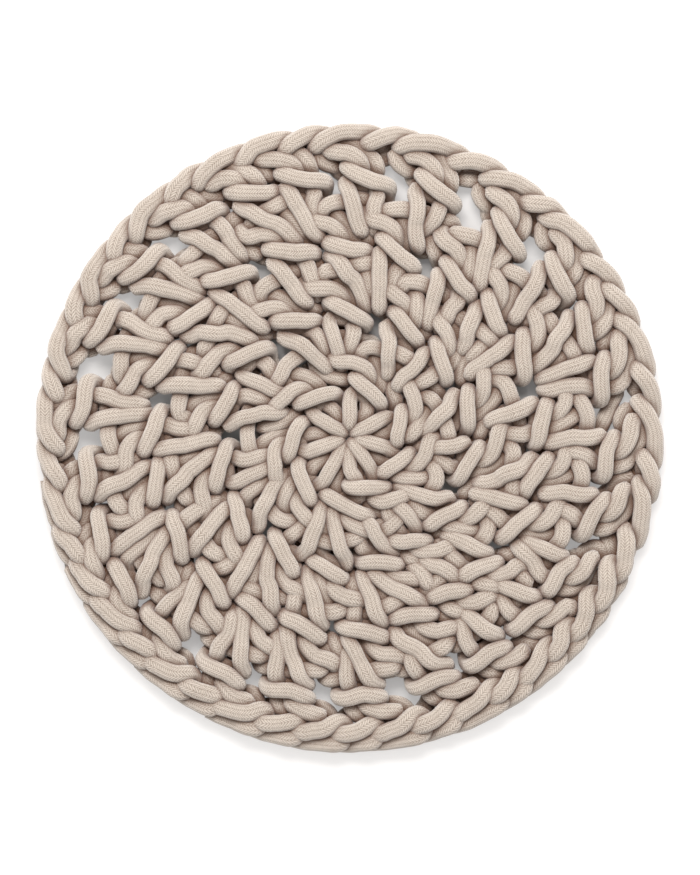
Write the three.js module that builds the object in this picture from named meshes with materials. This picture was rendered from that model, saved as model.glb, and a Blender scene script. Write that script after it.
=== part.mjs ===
// Round trivet, crocheted in one length of braided cotton cord: four rounds of double crochet,
// each stitch two legs, a bar across its middle and two upper legs under a chain.
// Millimetres, +Z up. It lies face up, and the origin is the middle of its flat underside.
import * as THREE from 'three';

// The whole mat
const matRadius = 102.5;
const cord = 5.5;
const cordRadius = cord / 2;
const bedHeight = 0.75 * cord;
const centreRings = 4;
const centreColumns = 16;
const seamStep = 0.6;            // between the last points of one round and the first of the next

// Gaps and rim
const smallestGap = 4;
const gapCornerPull = 0.22;
const rimInner = 94.6;
const rimRows = 3;
const rimColumns = 4;
const lobeDepth = 1.3;
const headLead = 9.5;
const chainLead = 1;
const chainSpacing = 12.2;
const linkTurn = 11.5;

// One row for each round, from the middle outward. base and top are the radii of the chains that the
// round stands on and ends in. gapFrom and gapTo are the rows of its gaps, and bars are the places of
// its stitches, in degrees, each read at the middle bar.
const rounds = [
  {
    name: 'first', base: 10.4, top: 32.2, rows: 8, columns: 6, barLength: 14, gapFrom: 0, gapTo: 0,
    bars: [82, 38, 352, 308, 265, 218, 172, 128],
  },
  {
    name: 'second', base: 32.2, top: 54.8, rows: 9, columns: 7, barLength: 14, gapFrom: 2, gapTo: 5,
    bars: [90, 62, 38, 13, 348, 320, 298, 284, 259, 238, 215, 191, 164, 140, 114],
  },
  {
    name: 'third', base: 54.8, top: 76.2, rows: 8, columns: 7, barLength: 15, gapFrom: 2, gapTo: 5,
    bars: [90, 75, 55, 40, 25, 3, 348, 333, 313, 302, 289, 274, 255, 241, 226, 210, 192, 177, 158, 142, 127, 107],
  },
  {
    name: 'last', base: 76.2, top: 98.2, rows: 7, columns: 7, barLength: 17, gapFrom: 2, gapTo: 6,
    bars: [
      86, 70, 52, 37, 24, 13, 355, 342, 326, 313, 302, 289, 273,
      256, 241, 225, 212, 201, 188, 172, 155, 140, 124, 111, 100,
    ],
  },
];

// The strands of one stitch, seen from above. across is to the right of the bar's middle, in bar
// lengths; out is from the base chain towards the rim and top is the height of the back of the cord,
// both in cord widths.
const stitchStrands = [
  { name: 'left leg', across: [0.22, -0.4], out: [-1.3, 1.3], top: [1.15, 1.75] },
  { name: 'right leg', across: [0.3, 0.14], out: [-1.0, 0.8], top: [1.15, 1.5] },
  { name: 'bar', across: [-0.4, 0.4], out: [2.15, 1.25], top: [2.3, 2.35] },
  { name: 'left upper leg', across: [-0.62, 0.0], out: [3.2, 2.4], top: [1.5, 1.75] },
  { name: 'right upper leg', across: [-0.12, 0.24], out: [3.4, 2.3], top: [1.5, 1.75] },
];
const headStrand = { name: 'head chain', across: [-0.85, 0.1], out: [3.5, 4.4], top: [1.75, 1.4] };
const rimStrand = { name: 'rim chain', radius: [95.8, 100.4], top: [2.05, 1.7] };

const degree = Math.PI / 180;

// Angles in the order of the list, each below the one before it.
function fallingAngles(angles) {
  const falling = [angles[0]];
  for (let i = 1; i < angles.length; i += 1) {
    let angle = angles[i];
    while (angle > falling[i - 1]) angle -= 360;
    falling.push(angle);
  }
  return falling;
}

function polar(radius, angle) {
  return new THREE.Vector2(radius * Math.cos(angle * degree), radius * Math.sin(angle * degree));
}

// A strand lies between two points of the plan, with its back at a height over each of them.
function makeStrand(startRadius, startAngle, startTop, endRadius, endAngle, endTop) {
  return {
    start: polar(startRadius, startAngle),
    end: polar(endRadius, endAngle),
    startTop: startTop * cord,
    endTop: endTop * cord,
  };
}

function stitchStrand(round, bar, strand) {
  const barRadius = (round.base + round.top) / 2;
  const barTurn = round.barLength / barRadius / degree;
  const radii = strand.out.map((out) => Math.max(1, round.base + out * cord));
  const angles = strand.across.map((across) => bar - across * barTurn);
  return makeStrand(radii[0], angles[0], strand.top[0], radii[1], angles[1], strand.top[1]);
}

// Places of the rim's links: one over each stitch, and one over the chain between two stitches that
// stand well apart.
function linkAngles(bars) {
  const starts = [];
  bars.forEach((bar, i) => {
    const next = i + 1 < bars.length ? bars[i + 1] : bars[0] - 360;
    starts.push(bar + headLead);
    if (bar - next > chainSpacing) starts.push(bar + chainLead);
  });
  return starts;
}

const lastBars = fallingAngles(rounds[3].bars);
const links = linkAngles(lastBars);

function allStrands() {
  const strands = [];
  rounds.forEach((round, index) => {
    for (const bar of fallingAngles(round.bars)) {
      for (const strand of stitchStrands) strands.push(stitchStrand(round, bar, strand));
      if (index < rounds.length - 1) strands.push(stitchStrand(round, bar, headStrand));
    }
  });
  for (const start of links) {
    const [innerRadius, outerRadius] = rimStrand.radius;
    const [innerTop, outerTop] = rimStrand.top;
    strands.push(makeStrand(innerRadius, start, innerTop, outerRadius, start - linkTurn, outerTop));
  }
  return strands;
}

const strands = allStrands();

// Height of the upper face over a point of the plan: the highest strand there, or the strands behind.
function surfaceHeight(point) {
  let height = bedHeight;
  for (const strand of strands) {
    const run = strand.end.clone().sub(strand.start);
    const along = THREE.MathUtils.clamp(point.clone().sub(strand.start).dot(run) / run.lengthSq(), 0, 1);
    const distance = point.distanceTo(strand.start.clone().addScaledVector(run, along));
    if (distance < cordRadius) {
      const top = THREE.MathUtils.lerp(strand.startTop, strand.endTop, along);
      const fall = cordRadius - Math.sqrt(cordRadius ** 2 - distance ** 2);
      height = Math.max(height, top - fall);
    }
  }
  return height;
}

// Columns of a round: each stitch runs from half-way to its left neighbour to half-way to its right
// one, and where the space beside its bar is a gap, its outer column is half that gap.
function roundColumns(round) {
  const bars = fallingAngles(round.bars);
  const middle = (round.base + round.top) / 2;
  const spaces = bars.map((bar, i) => {
    const next = i + 1 < bars.length ? bars[i + 1] : bars[0] - 360;
    const width = (bar - next) * degree * middle - round.barLength;
    return { edge: (bar + next) / 2, width, open: width > smallestGap && round.gapTo > 0 };
  });
  const angles = [];
  const gaps = [];
  spaces.forEach((space, i) => {
    const next = spaces[(i + 1) % spaces.length];
    const nextEdge = i + 1 < spaces.length ? next.edge : next.edge - 360;
    const evenStep = (space.edge - nextEdge) / round.columns;
    const startStep = space.open ? space.width / 2 / middle / degree : evenStep;
    const endStep = next.open ? next.width / 2 / middle / degree : evenStep;
    const innerStep = (space.edge - nextEdge - startStep - endStep) / (round.columns - 2);
    if (space.open) gaps.push(angles.length);
    angles.push(space.edge);
    for (let column = 0; column < round.columns - 1; column += 1) {
      angles.push(space.edge - startStep - column * innerStep);
    }
  });
  return { angles, gaps };
}

// The rings of points, from the middle outward. A ring joins the one inside it column for column
// where both have the same angles, and by a row of triangles that steps between them elsewhere.
const points = [];
const rings = [];

function addRing(angles, place, gapColumns = []) {
  const first = points.length;
  for (const angle of angles) points.push(place(angle));
  rings.push({ first, angles, gapColumns });
}

function onSurface(radius) {
  return (angle) => {
    const flat = polar(radius, angle);
    return new THREE.Vector3(flat.x, flat.y, surfaceHeight(flat));
  };
}

const centreAngles = Array.from({ length: centreColumns }, (_, i) => 90 - (i * 360) / centreColumns);
points.push(new THREE.Vector3(0, 0, surfaceHeight(new THREE.Vector2(0, 0))));
for (let ring = 1; ring < centreRings; ring += 1) {
  addRing(centreAngles, onSurface((ring * rounds[0].base) / centreRings));
}
for (const round of rounds) {
  const outer = Math.min(round.top, rimInner);
  const { angles, gaps } = roundColumns(round);
  for (let row = 0; row <= round.rows; row += 1) {
    const radius = THREE.MathUtils.lerp(round.base, outer, row / round.rows);
    const open = row >= round.gapFrom && row < round.gapTo;
    addRing(angles, onSurface(row === 0 ? radius + seamStep : radius), open ? gaps : []);
  }
}

// The rim: rows over the chain, then down its side, in lobes that follow the links.
function rimLobe(angle) {
  for (let i = 0; i < links.length; i += 1) {
    const next = i + 1 < links.length ? links[i + 1] : links[0] - 360;
    const turned = angle - 360 * Math.ceil((angle - links[i]) / 360);
    if (turned <= links[i] && turned > next) return Math.sin((Math.PI * (links[i] - turned)) / (links[i] - next));
  }
  return 0;
}

const rimAngles = [];
links.forEach((start, i) => {
  const next = i + 1 < links.length ? links[i + 1] : links[0] - 360;
  for (let column = 0; column < rimColumns; column += 1) {
    rimAngles.push(THREE.MathUtils.lerp(start, next, column / rimColumns));
  }
});
const rimSide = [
  { inset: 0.5, height: 1.25 * cord },
  { inset: 0, height: 0.75 * cord },
  { inset: 1.9, height: 0 },
];
const lobedRadius = (angle) => matRadius - lobeDepth * (1 - rimLobe(angle));
for (let row = 0; row < rimRows; row += 1) {
  const share = (row + 0.35) / rimRows;
  addRing(rimAngles, (angle) => onSurface(THREE.MathUtils.lerp(rimInner, lobedRadius(angle) - 1, share))(angle));
}
for (const { inset, height } of rimSide) {
  addRing(rimAngles, (angle) => {
    const flat = polar(lobedRadius(angle) - inset, angle);
    return new THREE.Vector3(flat.x, flat.y, height);
  });
}

const triangles = [];

// Whether the fold of a four-cornered face follows the strands better from a to b than from c to d.
function foldsAlong(a, b, c, d) {
  const middle = new THREE.Vector2(points[a].x + points[b].x, points[a].y + points[b].y).multiplyScalar(0.5);
  const height = surfaceHeight(middle);
  const fold = (points[a].z + points[b].z) / 2;
  const otherFold = (points[c].z + points[d].z) / 2;
  return Math.abs(fold - height) < Math.abs(otherFold - height);
}

function joinColumns(inner, outer) {
  const count = inner.angles.length;
  for (let column = 0; column < count; column += 1) {
    const next = (column + 1) % count;
    const inGap = inner.gapColumns.some((gap) => column === gap || next === gap);
    if (inGap) continue;
    const near = [inner.first + column, inner.first + next];
    const far = [outer.first + column, outer.first + next];
    if (foldsAlong(near[0], far[1], near[1], far[0])) {
      triangles.push([near[0], near[1], far[1]]);
      triangles.push([near[0], far[1], far[0]]);
    } else {
      triangles.push([near[0], near[1], far[0]]);
      triangles.push([near[1], far[1], far[0]]);
    }
  }
}

// Steps round two rings of different counts, always from the side that lags behind.
function joinStepped(inner, outer) {
  const start = inner.angles[0];
  const turned = (angle) => (((start - angle) % 360) + 360) % 360;
  const order = (ring) => ring.angles
    .map((angle, i) => ({ turn: turned(angle), point: ring.first + i }))
    .sort((a, b) => a.turn - b.turn);
  const a = order(inner);
  const b = order(outer);
  let i = 0;
  let j = 0;
  while (i < a.length || j < b.length) {
    const nextInner = i + 1 < a.length ? a[i + 1].turn : 360 + a[0].turn;
    const nextOuter = j + 1 < b.length ? b[j + 1].turn : 360 + b[0].turn;
    const here = a[i % a.length].point;
    const there = b[j % b.length].point;
    if (j >= b.length || (i < a.length && nextInner <= nextOuter)) {
      i += 1;
      triangles.push([here, a[i % a.length].point, there]);
    } else {
      j += 1;
      triangles.push([here, b[j % b.length].point, there]);
    }
  }
}

const firstRing = rings[0];
firstRing.angles.forEach((_, column) => {
  triangles.push([0, firstRing.first + ((column + 1) % centreColumns), firstRing.first + column]);
});
for (let ring = 1; ring < rings.length; ring += 1) {
  const inner = rings[ring - 1];
  const outer = rings[ring];
  if (inner.angles === outer.angles) joinColumns(inner, outer);
  else joinStepped(inner, outer);
}

// Edges with a face on one side only run round the outside and round each gap.
function openLoops() {
  const followers = new Map();
  const key = (from, to) => `${from}_${to}`;
  const known = new Set();
  for (const [a, b, c] of triangles) {
    for (const [from, to] of [[a, b], [b, c], [c, a]]) known.add(key(from, to));
  }
  for (const [a, b, c] of triangles) {
    for (const [from, to] of [[a, b], [b, c], [c, a]]) {
      if (!known.has(key(to, from))) followers.set(from, to);
    }
  }
  const loops = [];
  while (followers.size > 0) {
    const loop = [];
    let point = followers.keys().next().value;
    while (followers.has(point)) {
      loop.push(point);
      const next = followers.get(point);
      followers.delete(point);
      point = next;
    }
    loops.push(loop);
  }
  return loops;
}

// Rounds off a gap by drawing its corner points in, and closes its wall down to the underside.
function closeGap(loop) {
  const middle = new THREE.Vector3();
  loop.forEach((index) => middle.addScaledVector(points[index], 1 / loop.length));
  const away = (point) => Math.hypot(point.x - middle.x, point.y - middle.y);
  const reach = Math.max(...loop.map((index) => away(points[index])));
  for (const index of loop) {
    const point = points[index];
    const share = gapCornerPull * (away(point) / reach) ** 6;
    point.x = THREE.MathUtils.lerp(point.x, middle.x, share);
    point.y = THREE.MathUtils.lerp(point.y, middle.y, share);
  }
  const foot = loop.map((index) => {
    points.push(new THREE.Vector3(points[index].x, points[index].y, 0));
    return points.length - 1;
  });
  loop.forEach((index, i) => {
    const next = (i + 1) % loop.length;
    triangles.push([loop[next], index, foot[i]]);
    triangles.push([loop[next], foot[i], foot[next]]);
  });
  return foot;
}

function addUnderside() {
  const loops = openLoops();
  const rimFirst = rings[rings.length - 1].first;
  const outline = loops.find((loop) => loop.some((index) => index >= rimFirst));
  const gaps = loops.filter((loop) => loop !== outline).map(closeGap);
  const flat = (loop) => loop.map((index) => new THREE.Vector2(points[index].x, points[index].y));
  const all = [...outline, ...gaps.flat()];
  const faces = THREE.ShapeUtils.triangulateShape(flat(outline), gaps.map(flat));
  for (const [a, b, c] of faces) triangles.push([all[a], all[c], all[b]]);
}

addUnderside();

// Puts the middle of the mat's box over the origin.
const bounds = new THREE.Box3().setFromPoints(points);
const offset = bounds.getCenter(new THREE.Vector3());
for (const point of points) point.set(point.x - offset.x, point.y - offset.y, point.z);

const geometry = new THREE.BufferGeometry().setFromPoints(points);
geometry.setIndex(triangles.flat());
geometry.computeVertexNormals();

const cottonCord = new THREE.MeshStandardMaterial({ color: 0xc4b5a4, roughness: 0.92, metalness: 0 });
const mat = new THREE.Mesh(geometry, cottonCord);
mat.name = 'crochet_mat';

const trivet = new THREE.Group();
trivet.add(mat);

export default trivet;
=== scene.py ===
import math
import bpy
import numpy as np
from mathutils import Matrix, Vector


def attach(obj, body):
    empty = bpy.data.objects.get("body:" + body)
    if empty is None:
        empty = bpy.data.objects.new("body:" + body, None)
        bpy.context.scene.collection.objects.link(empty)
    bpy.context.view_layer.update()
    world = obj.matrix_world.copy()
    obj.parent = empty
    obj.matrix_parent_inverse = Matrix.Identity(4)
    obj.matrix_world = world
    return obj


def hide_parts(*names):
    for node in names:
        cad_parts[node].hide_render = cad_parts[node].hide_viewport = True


# Crocheted trivet: one braided cotton cord worked round and round in double crochet.
# The cord, its rounds and its stitches are given in millimetres, degrees or cord widths. The meshes,
# the braid's depths, the floor and the lights are in metres.

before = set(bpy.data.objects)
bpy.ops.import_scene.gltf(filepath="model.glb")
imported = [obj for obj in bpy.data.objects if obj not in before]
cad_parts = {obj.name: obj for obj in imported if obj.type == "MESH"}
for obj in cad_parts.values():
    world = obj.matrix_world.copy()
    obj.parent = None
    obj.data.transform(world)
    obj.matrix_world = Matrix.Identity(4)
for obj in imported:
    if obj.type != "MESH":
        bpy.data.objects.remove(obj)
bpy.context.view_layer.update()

mm = 0.001
tiny = 1e-6      # keeps a division away from nothing

# camera, straight above, framed so that the mat spans the picture as in the photo: its distance and
# near clip in metres, the frame's width and centre in millimetres
shot = {"distance": 1.6, "frameWidth": 229.0, "centre": (0.2, 0.2), "sensor": 36.0, "nearClip": 0.05}


def addCamera():
    data = bpy.data.cameras.new("overhead")
    data.sensor_fit = "HORIZONTAL"
    data.sensor_width = shot["sensor"]
    data.lens = shot["sensor"] * shot["distance"] / (shot["frameWidth"] * mm)
    data.clip_start = shot["nearClip"]
    camera = bpy.data.objects.new("overhead", data)
    camera.location = (shot["centre"][0] * mm, shot["centre"][1] * mm, shot["distance"])
    bpy.context.scene.collection.objects.link(camera)
    bpy.context.scene.camera = camera


addCamera()
print("camera placed")

# the cord itself. fullness is its drawn width against the real one: the first round is worked tightest
# and the rim's links loosest. Each wave of its unevenness is steps to a radian, and where it starts
cord = {
    "width": 5.5, "fullness": 0.99, "step": 1.2,
    "sides": 14,                                   # more would take the last round past 200,000 triangles
    "swell": 1.15, "flatten": 0.3,                 # pressed a little flat
    "looseFrom": 88.0, "looseOver": 6.0, "looseness": 0.05,
    "tightTo": 50.0, "tightness": 0.1,
    "uneven": 0.02, "unevenWaves": ((4.1, 0), (6.7, 1), (2.3, 2)),
    "endFullness": 0.94, "endGrowth": 0.02,        # each end runs into the next round
}

# rounds from the middle outward: base and top are the radii of the chains below and above, linkLead is
# how far a link's left end leads its bar and least how near the cord comes to the middle (cord widths),
# and barLength and barOut stretch and move the bars. Each row of stitches is: angle of its bar, how
# far the bar lies out of its place and how far its left end lies beyond its right end (cord widths),
# angle from the bar to the hole it is worked in, and the angle between the feet of its two legs
rounds = [
    {
        "name": "round_first", "base": 10.4, "top": 32.2, "linkLead": 2.0, "least": 0.5,
        "barLength": 0.95, "barOut": 0,
        "stitches": [
            (8, -0.4, 0.8, 21, 17), (65, -0.4, 0.9, 27, 42), (127, -0.3, 1.0, 15, 19),
            (178, -0.1, 0.9, 17, 12), (221, 0.4, 1.1, 20, 14), (262, 0.6, 1.2, 2, 10),
            (286, -0.3, 1.0, 19, 18), (326, -0.3, 1.0, 19, 14),
        ],
    },
    {
        "name": "round_second", "base": 32.2, "top": 54.8, "linkLead": 2.0, "least": 1.0,
        "barLength": 0.75, "barOut": 0,
        "stitches": [
            (13, -0.2, 0.5, -11, 2), (39, -0.35, 1.1, 6, 1), (62, 0, 1.1, -5, 3), (90, 0.1, 1.5, 6, 2),
            (113.5, 0.2, 1.3, -7, 2), (140, 0.45, 1.3, 6, 1), (164, 0.2, 0.8, -7, 3),
            (191.5, 0.45, 1.4, 7, 2), (215, 0.7, 1.2, -7, 2), (240, 0.55, 1.6, 8, 1),
            (259, 0.5, 1.0, -2, 4), (283, 0.2, 0.6, -6, 5), (298, -0.4, 1.2, 6, 2),
            (319.5, -0.15, 1.2, -6, 2), (347.5, -0.2, 1.0, 4.5, 2),
        ],
    },
    {
        "name": "round_third", "base": 54.8, "top": 76.2, "linkLead": 2.25, "least": 1.0,
        "barLength": 0.93, "barOut": -0.15,
        "stitches": [
            (4, 0, 0.8, 2.5, 4), (25, 0, 1.1, 3, -0.5), (40, -0.2, 1.0, -2.5, 5), (55, -0.1, 1.0, 0.5, 4),
            (75, -0.1, 1.4, 2, -0.5), (90, -0.2, 0.6, -8.5, 0.5), (107, 0.15, 1.2, 0.5, 4),
            (127, 0.6, 1.2, 1, 0), (142, 0.4, 1.0, -8, 3), (158, 0.4, 1.0, 0.5, 4), (178, 0.25, 1.0, 1.5, 0.5),
            (192, 0.3, 1.1, -6, 0.5), (209.5, 0.3, 0.8, -0.5, 3), (226.5, 0.4, 0.7, 2.5, 0),
            (241, 0.15, 0.8, -8, 0.5), (255.5, 0.1, 0.9, -3, 4), (274, 0.1, 0.7, 1, 2),
            (289, -0.3, 0.5, -9, 0.5), (302, -0.6, 0.9, -2, 2), (313.5, -0.6, 1.0, 1.5, 4),
            (333, -0.2, 1.1, 3, 0.5), (348, -0.2, 1.3, -10, 0.5),
        ],
    },
    {
        "name": "round_last", "base": 76.2, "top": 98.2, "linkLead": 2.2, "least": 1.0,
        "barLength": 0.92, "barOut": 0,
        "stitches": [
            (13, -0.1, 0.7, 4, 2.5), (24.5, -0.1, 0.9, -4, 1), (37, 0.2, 0.6, -1.5, 1.8),
            (52, -0.15, 1.4, -2.5, -1), (70, 0.15, 1.1, 1, 0.5), (86, 0, 1.1, 0.5, 3), (100, 0.15, 1.1, -1, -2),
            (111, 0.15, 1.1, -6, 3.5), (124, 0.4, 0.85, -1.5, 2.5), (140, 0.5, 0.6, -3.5, 1),
            (155, 0.65, 0.4, -1.5, 1.5), (172, 0.45, 0.25, 0, 0), (188, 0.2, 0.35, 0, 2.5),
            (201, 0.4, 0.85, 1, 0.5), (212, 0.5, 0.6, -5, 2), (225, 0.45, 0.2, -3, -1), (241, 0.4, 0.2, -2, 1),
            (256, 0, 0, -5.5, 0), (272, -0.15, -0.1, -3, -0.5), (289, -0.2, 0.1, -6.5, -2.5),
            (302, -0.15, 0.1, 1, 2), (315, -0.4, 0.6, 0, 1.5), (326, -0.65, 0.2, 3, 1.5),
            (342, -0.3, 0.7, 2, 2), (355.5, -0.15, 0.25, 3, 0.5),
        ],
        # angles of the rim's links, each at its left end, where it bends
        "links": [
            7, 14, 24, 30.5, 38, 48, 53.5, 62, 70, 80, 87, 96.5, 103, 112, 120.5, 127.5, 137, 143,
            151.5, 157.5, 167.5, 172.5, 182, 190, 199, 206, 213.5, 221.5, 228.5, 237, 244, 253,
            260.5, 269, 275.5, 284.5, 291, 301, 306, 314.5, 319.5, 327.5, 334.5, 342, 351.5, 357,
        ],
    },
]

# the way of the cord through one stitch, in cord widths: across to the right of the bar, out from the
# base chain, and up from the table. Each part follows the one before
stitchParts = {
    "wayIn": [(0.7, 2.8, 0.8), (0.4, 2.1, 0.75), (-0.3, 1.8, 0.6), (-1.1, 1.75, 0.75)],
    "bar": [
        (-1.4, 1.95, 1.2), (-1.15, 2.0, 1.7), (-0.5, 1.62, 1.92), (0.3, 1.42, 1.95), (0.95, 1.35, 1.65),
        (1.18, 1.2, 1.05),
    ],
    "rightLeg": [
        (1.0, 0.3, 0.5), (0.75, -0.8, 0.5), (0.6, -1.6, 0.7), (0.6, -1.25, 1.15), (0.62, -0.4, 1.5),
        (0.66, 0.35, 1.45), (0.6, 1.0, 1.15),
    ],
    "overLegs": [(0.1, 1.5, 0.9), (-0.7, 1.65, 0.9), (-1.2, 1.6, 1.05)],
    "leftLeg": [
        (-1.35, 1.2, 1.4), (-1.05, 0.5, 1.68), (-0.6, -0.35, 1.78), (-0.15, -1.15, 1.5), (0.1, -1.7, 0.95),
        (0.1, -1.5, 0.5), (-0.35, -0.4, 0.5), (-0.6, 0.7, 0.5), (-0.3, 1.5, 0.5),
    ],
    "upperLegs": [
        (0.25, 1.9, 0.85), (0.25, 2.35, 1.15), (0.0, 2.8, 1.3), (-0.45, 3.25, 1.15), (-0.95, 3.6, 0.9),
        (-1.55, 3.65, 0.75), (-2.15, 3.5, 0.85), (-2.4, 3.2, 1.2), (-2.0, 3.17, 1.5), (-1.35, 3.12, 1.65),
        (-0.75, 2.8, 1.65), (-0.3, 2.35, 1.5), (-0.1, 1.85, 1.0), (-0.5, 1.45, 0.5), (-1.1, 1.95, 0.55),
    ],
    "slack": [(-1.6, 2.4, 0.8), (-2.15, 2.5, 1.0), (-2.6, 2.8, 1.0), (-2.75, 3.4, 0.8)],
}
feet = {"rightLeg": 0.6, "leftLeg": 0.1}      # how far across each leg's foot stands

# how those parts bend to a stitch's own row: in cord widths out from the base chain, or shares
stitchFit = {
    "barAt": 1.6, "barTilt": 0.65, "barWidth": 2.3,       # of the bar as it is given above
    "footFrom": 1.3, "footOver": 3, "footRise": 0.6,      # further in than this the legs turn to their hole
    "legsFrom": 2,                                        # further out the rim's roll draws the legs in
}

# one link of the chain: share of its length from the point on the right to the bend on the left, out
# from the base chain and up from the table
frontArm = [
    (0.1, 3.65, 0.55), (0.0, 3.7, 0.6), (0.1, 3.92, 0.7), (0.3, 4.22, 1.15), (0.55, 4.32, 1.55),
    (0.8, 4.05, 1.65), (0.99, 3.7, 1.25),
]
backArm = [(0.99, 3.6, 0.6), (0.75, 3.68, 0.5), (0.42, 3.75, 0.5), (0.14, 3.7, 0.5)]
linkFit = {
    "chainOut": 4.1,                            # of the chain as it is given above
    "tucked": 0.55, "tuckedOver": 0.3,          # covered parts lie further in, under the next round
    "rollRate": 2, "easeFrom": 0.6,             # the front arm rolls in, then eases towards its bend
    "dipFrom": 0.7, "dipOver": 0.3,
    "beyond": 1.35,                             # each link ends under the one to its right
    "riseShare": 0.4,                           # what it takes from the rises of the stitches beside it
    "afterBar": 4.5,                            # nearer past a bar (degrees), a link is worked before it
}
# towards this angle the edge rolls under, so that the back arms show outside the front ones
edgeRoll = {
    "angle": 268, "least": 0.15, "swing": 1.3, "inward": 0.65, "outward": 0.5, "lift": 0.7,
    "frontLift": 0.25, "dip": 0.45, "legs": 0.5, "ease": 0.85,
}


def edgeRollAt(angle):
    away = math.radians(angle - edgeRoll["angle"])
    return min(1, max(0, edgeRoll["least"] + edgeRoll["swing"] * math.cos(away)))


def polar(radius, angle, height):
    turn = math.radians(angle)
    return (radius * math.cos(turn), radius * math.sin(turn), height)


def stitchPoints(row, stitch):
    bar, rise, tilt, foot, spread = stitch
    width = cord["width"]
    turn = math.degrees(width / (row["base"] + stitchFit["barAt"] * width))     # one cord width at the bar
    footAngle = {"leftLeg": foot, "rightLeg": foot - spread}
    roll = edgeRollAt(bar) if "links" in row else 0
    points = []
    for part, steps in stitchParts.items():
        for across, out, up in steps:
            angle = -across * turn
            down = 0
            if part in feet:
                down = min(1, max(0, (stitchFit["footFrom"] - out) / stitchFit["footOver"]))
                angle += down * (footAngle[part] + feet[part] * turn)
            if part == "upperLegs":
                out -= roll * edgeRoll["legs"] * min(1, max(0, out - stitchFit["legsFrom"]))
            if part == "bar":
                out -= (tilt - stitchFit["barTilt"]) * across / stitchFit["barWidth"]
                out += row["barOut"]
                angle *= row["barLength"]
            radius = row["base"] + (out + rise * (1 - stitchFit["footRise"] * down)) * width
            points.append(polar(max(row["least"] * width, radius), bar + angle, up * width))
    return points


def linkPoints(row, start, end, rise):
    width = cord["width"]
    span = start - end
    height = (row["top"] - row["base"]) / width
    outward = row["base"] + width * (rise + height - linkFit["chainOut"])
    roll = 0
    tuck = linkFit["tucked"]
    if "links" in row:
        roll = edgeRollAt(start)
        tuck = 0
    points = []
    for share, out, up in frontArm:
        rolledIn = min(1, linkFit["rollRate"] * share) - edgeRoll["ease"] * max(0, share - linkFit["easeFrom"])
        inward = roll * edgeRoll["inward"] * rolledIn + tuck * max(0, 1 - share / linkFit["tuckedOver"])
        dip = edgeRoll["dip"] * max(0, share - linkFit["dipFrom"]) / linkFit["dipOver"]
        lift = roll * (edgeRoll["frontLift"] - dip)
        points.append(polar(outward + (out - inward) * width, end + share * span, (up + lift) * width))
    for share, out, up in backArm:
        radius = outward + (out - tuck + roll * edgeRoll["outward"]) * width
        points.append(polar(radius, end + share * span, (up + roll * edgeRoll["lift"]) * width))
    return points


def roundRoute(row):
    stitches = row["stitches"]
    count = len(stitches)
    bars = [stitch[0] for stitch in stitches]
    topTurn = math.degrees(cord["width"] / row["top"])
    if "links" in row:
        starts = row["links"]
    else:
        starts = [bar + row["linkLead"] * topTurn for bar in bars]
    beyond = linkFit["beyond"] * topTurn
    ends = [starts[i - 1] - (360 if i == 0 else 0) - beyond for i in range(len(starts))]
    route = []
    for i, stitch in enumerate(stitches):
        route += stitchPoints(row, stitch)
        if "links" not in row:
            following = stitches[(i + 1) % count]
            rise = linkFit["riseShare"] * (stitch[1] + following[1])
            route += linkPoints(row, starts[i], ends[i], rise)
            continue
        bar = bars[i] + linkFit["afterBar"]
        nextBar = bars[(i + 1) % count] + (360 if i + 1 == count else 0) + linkFit["afterBar"]
        for k in range(len(starts) * 2):
            shift = 360 * (k // len(starts))
            start, end = starts[k % len(starts)] + shift, ends[k % len(starts)] + shift
            if bar <= start < nextBar:
                route += linkPoints(row, start, end, 0)
    return route


spanSamples = 8      # between two points of a route


def smoothRoute(points, step):
    p = np.array(points)
    p = np.vstack([2 * p[0] - p[1], p, 2 * p[-1] - p[-2]])
    samples = []
    t = np.linspace(0, 1, spanSamples + 1)[:-1, None]
    for i in range(1, len(p) - 2):
        a, b, c, d = p[i - 1], p[i], p[i + 1], p[i + 2]
        square = (2 * a - 5 * b + 4 * c - d) * t**2
        cube = (3 * b - a - 3 * c + d) * t**3
        samples.append(0.5 * (2 * b + (c - a) * t + square + cube))
    curve = np.vstack(samples + [p[-2][None]])
    gaps = np.linalg.norm(np.diff(curve, axis=0), axis=1)
    reach = np.concatenate([[0], np.cumsum(gaps)])
    count = max(2, int(reach[-1] / step))
    at = np.linspace(0, reach[-1], count)
    return np.stack([np.interp(at, reach, curve[:, k]) for k in range(3)], axis=1)


# how the worked cord settles: strands push apart where they press together, keep their bends easy,
# stay near the places they were worked in, and lie on the table. Strands low down press closer
settle = {
    "step": 2.0, "turns": 80, "ease": 0.12,
    "press": 0.92, "under": 0.85, "underPress": 0.62, "shareOut": 0.6,
    "hold": 0.06, "topHold": 0.14, "topFrom": 1.2, "topOver": 0.4, "edgeFrom": 92.0,
    "matRadius": 102.2, "drawIn": 0.35,
    "lookReach": 1.3, "lookEvery": 10, "skip": 5, "block": 500,      # how neighbours are looked for
}


def nearPairs(place, reach):
    firsts, seconds = [], []
    square = (place**2).sum(axis=1)
    block = settle["block"]
    for low in range(0, len(place), block):
        part = place[low:low + block]
        gap = square[low:low + block][:, None] + square[None] - 2 * part @ place.T
        a, b = np.nonzero(gap < reach * reach)
        a = a + low
        keep = b > a + settle["skip"]
        firsts.append(a[keep])
        seconds.append(b[keep])
    return np.concatenate(firsts), np.concatenate(seconds)


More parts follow.
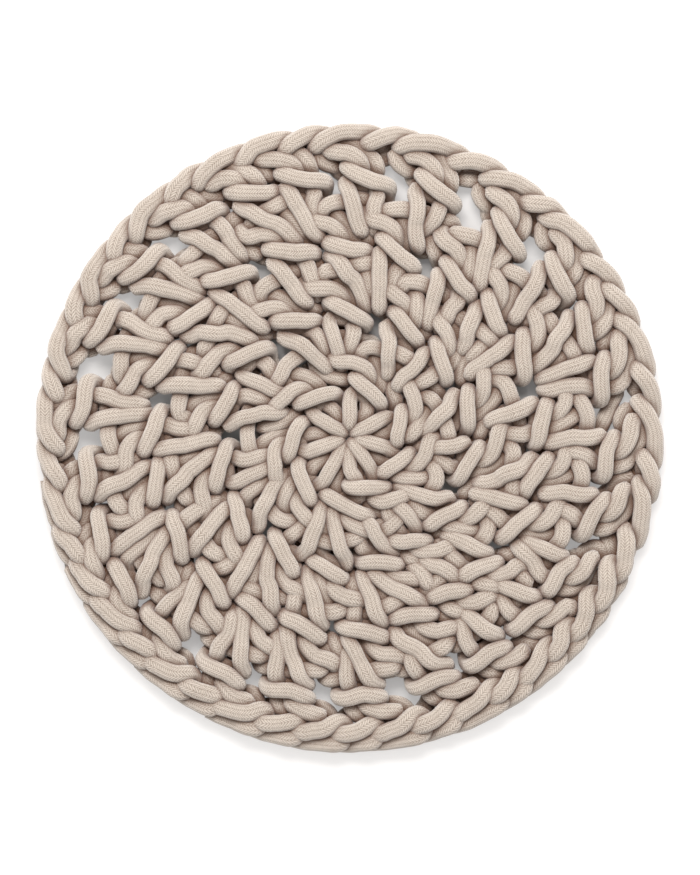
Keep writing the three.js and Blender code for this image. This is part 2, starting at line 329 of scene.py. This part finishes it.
def settleCord(route):
    start = route.copy()
    place = route.copy()
    width = cord["width"]
    reach = settle["press"] * width
    floorHeight = cord["fullness"] * width / 2
    topOver = settle["topOver"]
    onTop = np.clip(start[:, 2] / width - settle["topFrom"], 0, topOver)[:, None] / topOver
    onEdge = np.clip((np.hypot(start[:, 0], start[:, 1]) - settle["edgeFrom"]) / width, 0, 1)[:, None]
    hold = settle["hold"] + settle["topHold"] * np.maximum(onTop, onEdge)
    edge = settle["matRadius"] - width / 2
    for turn in range(settle["turns"]):
        if turn % settle["lookEvery"] == 0:
            one, other = nearPairs(place, reach * settle["lookReach"])
        apart = place[one] - place[other]
        distance = np.linalg.norm(apart, axis=1)
        under = np.maximum(place[one, 2], place[other, 2]) < settle["under"] * width
        room = np.where(under, settle["underPress"], 1) * reach
        pressed = distance < room
        lack = (room - distance)[pressed][:, None]
        push = lack * apart[pressed] / np.maximum(distance[pressed], tiny)[:, None]
        move = np.zeros_like(place)
        weight = np.zeros(len(place))
        np.add.at(move, one[pressed], push * 0.5)
        np.add.at(move, other[pressed], -push * 0.5)
        np.add.at(weight, one[pressed], 1)
        np.add.at(weight, other[pressed], 1)
        place += move / np.maximum(1, weight * settle["shareOut"])[:, None]
        middle = (place[:-2] + place[2:]) / 2
        place[1:-1] += settle["ease"] * (middle - place[1:-1])
        place += hold * (start - place)
        place[:, 2] = np.maximum(place[:, 2], floorHeight)
        out = np.hypot(place[:, 0], place[:, 1])
        drawnIn = 1 - settle["drawIn"] * np.maximum(0, out - edge) / np.maximum(out, tiny)
        place[:, :2] *= drawnIn[:, None]
    return place


def cordRadii(route):
    out = np.hypot(route[:, 0], route[:, 1])
    loose = np.clip((out - cord["looseFrom"]) / cord["looseOver"], 0, 1)
    tight = np.clip(1 - out / cord["tightTo"], 0, 1)
    fullness = cord["fullness"] + cord["looseness"] * loose - cord["tightness"] * np.sqrt(tight)
    steps = np.arange(len(route))
    uneven = 1 + cord["uneven"] * sum(np.sin(steps / pace + start) for pace, start in cord["unevenWaves"])
    sunkEnd = np.minimum(1, cord["endFullness"] + cord["endGrowth"] * steps)
    return fullness * uneven * sunkEnd * sunkEnd[::-1] * cord["width"] / 2


def cordRings(route):
    tangents = np.gradient(route, axis=0)
    tangents /= np.linalg.norm(tangents, axis=1)[:, None]
    normal = np.cross(tangents[0], (0, 0, 1.0))
    normals = []
    for tangent in tangents:
        normal = normal - tangent * np.dot(normal, tangent)
        normal /= np.linalg.norm(normal)
        normals.append(normal)
    normals = np.array(normals)
    others = np.cross(tangents, normals)
    turn = np.linspace(0, 2 * math.pi, cord["sides"], endpoint=False)[None, :, None]
    offsets = np.cos(turn) * normals[:, None] + np.sin(turn) * others[:, None]
    offsets[:, :, 2] *= cord["swell"] - cord["flatten"] * offsets[:, :, 2] ** 2
    return route[:, None] + cordRadii(route)[:, None, None] * offsets


# the braid's map: once round the cord across, and millimetres of cord along
def cordMap(route):
    sides, count = cord["sides"], len(route)
    corners = 4 * sides * (count - 1)
    length = np.concatenate([[0], np.cumsum(np.linalg.norm(np.diff(route, axis=0), axis=1))])
    k = np.arange(sides)[None, :]
    across = np.stack([k, k + 1, k + 1, k], axis=-1) / sides
    along = np.stack([length[:-1], length[:-1], length[1:], length[1:]], axis=-1)
    uv = np.zeros((corners + 2 * sides, 2))      # the two caps stay at nothing
    uv[:corners, 0] = np.broadcast_to(across, (count - 1, sides, 4)).reshape(-1)
    uv[:corners, 1] = np.broadcast_to(along[:, None, :], (count - 1, sides, 4)).reshape(-1)
    return uv.reshape(-1)


def sweepCord(name, route):
    sides, count = cord["sides"], len(route)
    verts = (cordRings(route).reshape(-1, 3) * mm).tolist()
    ring = np.arange(count - 1)[:, None] * sides
    k = np.arange(sides)[None, :]
    k2 = (k + 1) % sides
    faces = np.stack([ring + k, ring + k2, ring + sides + k2, ring + sides + k], axis=-1).reshape(-1, 4)
    caps = [tuple(range(sides - 1, -1, -1)), tuple(range((count - 1) * sides, count * sides))]
    mesh = bpy.data.meshes.new(name)
    mesh.from_pydata(verts, [], faces.tolist() + caps)
    mesh.uv_layers.new(name="cordMap").data.foreach_set("uv", cordMap(route))
    mesh.polygons.foreach_set("use_smooth", [True] * len(mesh.polygons))
    piece = bpy.data.objects.new(name, mesh)
    bpy.context.scene.collection.objects.link(piece)
    return piece


# braided cotton: rows of slanting yarn bundles, every other row the other way, in a matt undyed beige
braid = {
    "columns": 12, "pitch": 0.72, "lean": 1.6, "waver": 0.5, "bundleRound": 0.6, "columnRound": 0.18,
    "bump": 0.75, "depth": 0.0002, "fuzzBump": 0.5,
    "fuzzScale": 2300, "fuzzDetail": 3, "fuzzShade": 0.85,
    "patchScale": 110, "patchDetail": 4, "patchShade": 0.3,
    "light": (0.7, 0.622, 0.547, 1), "lightAt": 1.0, "dark": (0.28, 0.212, 0.162, 1), "darkAt": 0.1,
    # painted shade: the next entries give the dark brown, reach, sharpness and samples of the shade laid into
    # the colour where strands press together
    "paintedCreviceShade": (0.15, 0.062, 0.028, 1), "paintedShadeReach": 0.0032, "paintedShadeSharpness": 1.7,
    "paintedShadeSamples": 8,
    "roughness": 0.92, "specular": 0.25, "diffuseRoughness": 1.0, "sheen": 0.4, "sheenRoughness": 0.5,
}


def cottonMaterial():
    material = bpy.data.materials.new("braided cotton")
    material.use_nodes = True
    tree = material.node_tree
    nodes = tree.nodes
    shader = nodes["Principled BSDF"]

    def combine(operation, a, b=None):
        node = nodes.new("ShaderNodeMath")
        node.operation = operation
        for socket, value in zip(node.inputs, (a, b)):
            if value is None:
                continue
            if isinstance(value, (int, float)):
                socket.default_value = value
            else:
                tree.links.new(value, socket)
        return node.outputs[0]

    def noise(scale, detail):
        node = nodes.new("ShaderNodeTexNoise")
        node.inputs["Scale"].default_value = scale
        node.inputs["Detail"].default_value = detail
        tree.links.new(where.outputs["Object"], node.inputs["Vector"])
        return node.outputs["Fac"]

    where = nodes.new("ShaderNodeTexCoord")
    fuzz = noise(braid["fuzzScale"], braid["fuzzDetail"])
    fibres = combine("SUBTRACT", fuzz, 0.5)

    place = nodes.new("ShaderNodeUVMap")
    place.uv_map = "cordMap"
    split = nodes.new("ShaderNodeSeparateXYZ")
    tree.links.new(place.outputs["UV"], split.inputs[0])
    column = combine("MULTIPLY", split.outputs["X"], braid["columns"])
    inColumn = combine("FRACT", column)
    odd = combine("MODULO", combine("FLOOR", column), 2)
    side = combine("SUBTRACT", combine("MULTIPLY", odd, 2), 1)
    lean = combine("MULTIPLY", side, braid["lean"])
    slope = combine("MULTIPLY", combine("SUBTRACT", inColumn, 0.5), lean)
    along = combine("ADD", combine("DIVIDE", split.outputs["Y"], braid["pitch"]), slope)
    along = combine("ADD", along, combine("MULTIPLY", fibres, braid["waver"]))
    bundle = combine("ABSOLUTE", combine("SINE", combine("MULTIPLY", along, math.pi)))
    edge = combine("SINE", combine("MULTIPLY", inColumn, math.pi))
    bundle = combine("POWER", bundle, braid["bundleRound"])
    edge = combine("POWER", edge, braid["columnRound"])
    relief = combine("MULTIPLY", bundle, edge)

    bump = nodes.new("ShaderNodeBump")
    bump.inputs["Strength"].default_value = braid["bump"]
    bump.inputs["Distance"].default_value = braid["depth"]
    height = combine("ADD", relief, combine("MULTIPLY", fuzz, braid["fuzzBump"]))
    tree.links.new(height, bump.inputs["Height"])
    tree.links.new(bump.outputs["Normal"], shader.inputs["Normal"])

    grain = combine("MULTIPLY", fibres, braid["fuzzShade"])
    patches = noise(braid["patchScale"], braid["patchDetail"])
    patch = combine("MULTIPLY", combine("SUBTRACT", patches, 0.5), braid["patchShade"])
    shade = combine("ADD", relief, combine("ADD", grain, patch))
    ramp = nodes.new("ShaderNodeValToRGB")
    low, high = ramp.color_ramp.elements
    low.position, low.color = braid["darkAt"], braid["dark"]
    high.position, high.color = braid["lightAt"], braid["light"]
    tree.links.new(shade, ramp.inputs["Fac"])

    # painted shade: where the ambient occlusion node finds strands pressed close together, the colour turns
    # dark brown, standing in for the shade between them
    paintedShadeOcclusion = nodes.new("ShaderNodeAmbientOcclusion")
    paintedShadeOcclusion.samples = braid["paintedShadeSamples"]
    paintedShadeOcclusion.inputs["Distance"].default_value = braid["paintedShadeReach"]
    openness = combine("POWER", paintedShadeOcclusion.outputs["AO"], braid["paintedShadeSharpness"])
    paintedShadeMix = nodes.new("ShaderNodeMix")
    paintedShadeMix.data_type = "RGBA"
    tree.links.new(openness, paintedShadeMix.inputs["Factor"])
    paintedShadeMix.inputs[6].default_value = braid["paintedCreviceShade"]                # 6 and 7 are its two colours
    tree.links.new(ramp.outputs["Color"], paintedShadeMix.inputs[7])
    tree.links.new(paintedShadeMix.outputs[2], shader.inputs["Base Color"])
    shader.inputs["Roughness"].default_value = braid["roughness"]
    shader.inputs["Specular IOR Level"].default_value = braid["specular"]
    shader.inputs["Diffuse Roughness"].default_value = braid["diffuseRoughness"]
    shader.inputs["Sheen Weight"].default_value = braid["sheen"]
    shader.inputs["Sheen Roughness"].default_value = braid["sheenRoughness"]
    return material


cotton = cottonMaterial()
print("cotton mixed")
worked = [smoothRoute(roundRoute(row), settle["step"]) for row in rounds]
whole = settleCord(np.vstack(worked))
print("settled", len(whole), "points, thickness", round(float(whole[:, 2].max()) + cord["width"] / 2, 2))
first = 0
for row, path in zip(rounds, worked):
    last = first + len(path)
    # a little of the rounds before and after, so that no crack shows between two pieces
    route = smoothRoute(whole[max(0, first - 1):min(last + 2, len(whole))].tolist(), cord["step"])
    first = last
    piece = sweepCord(row["name"], route)
    piece.data.materials.append(cotton)
    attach(piece, "root")
    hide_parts("crochet_mat")
    print("worked", row["name"], len(route), "steps")


# a paper floor that is dim under the mat and glows white further out, painted light from its own emission,
# which leaves painted shade in the holes under the mat, so that the mat's shadow stays light, one softbox
# beyond the far side of the mat, and a soft fill from all round
studio = {
    "paper": (0.5, 0.48, 0.465, 1), "paperRoughness": 0.9, "paperSize": 8, "white": (1, 1, 1, 1),
    "glow": 0.8, "glowUnder": 0.02, "glowFrom": 0.055, "glowFull": 0.13, "fill": 0.68,
    "boxPlace": (-0.08, 0.78, 1.3), "boxSize": (0.85, 0.6), "boxPower": 21.5,
}


def addStage():
    bpy.ops.mesh.primitive_plane_add(size=studio["paperSize"], location=(0, 0, 0))
    floor = bpy.context.object
    floor.name = "floor"
    paper = bpy.data.materials.new("glowing pale paper")
    paper.use_nodes = True
    nodes, links = paper.node_tree.nodes, paper.node_tree.links
    shader = nodes["Principled BSDF"]
    shader.inputs["Base Color"].default_value = studio["paper"]
    shader.inputs["Roughness"].default_value = studio["paperRoughness"]
    shader.inputs["Emission Color"].default_value = studio["white"]
    where = nodes.new("ShaderNodeTexCoord")
    distance = nodes.new("ShaderNodeVectorMath")
    distance.operation = "LENGTH"
    links.new(where.outputs["Object"], distance.inputs[0])
    # painted light: the floor's emission rises from a trace under the mat to a white glow further out
    glow = nodes.new("ShaderNodeMapRange")
    glow.inputs["From Min"].default_value = studio["glowFrom"]
    glow.inputs["From Max"].default_value = studio["glowFull"]
    glow.inputs["To Min"].default_value = studio["glowUnder"]
    glow.inputs["To Max"].default_value = studio["glow"]
    links.new(distance.outputs["Value"], glow.inputs["Value"])
    links.new(glow.outputs["Result"], shader.inputs["Emission Strength"])
    floor.data.materials.append(paper)


def addLights():
    world = bpy.data.worlds.new("studio")
    bpy.context.scene.world = world
    world.use_nodes = True
    background = world.node_tree.nodes["Background"]
    background.inputs["Color"].default_value = studio["white"]
    background.inputs["Strength"].default_value = studio["fill"]
    light = bpy.data.lights.new("softbox", "AREA")
    light.shape = "RECTANGLE"
    light.size, light.size_y = studio["boxSize"]
    light.energy = studio["boxPower"]
    lamp = bpy.data.objects.new("softbox", light)
    lamp.location = studio["boxPlace"]
    lamp.rotation_euler = (-Vector(studio["boxPlace"])).to_track_quat("-Z", "Y").to_euler()
    bpy.context.scene.collection.objects.link(lamp)
    bpy.context.scene.view_settings.view_transform = "Standard"


addStage()
addLights()
print("floor and lights set")
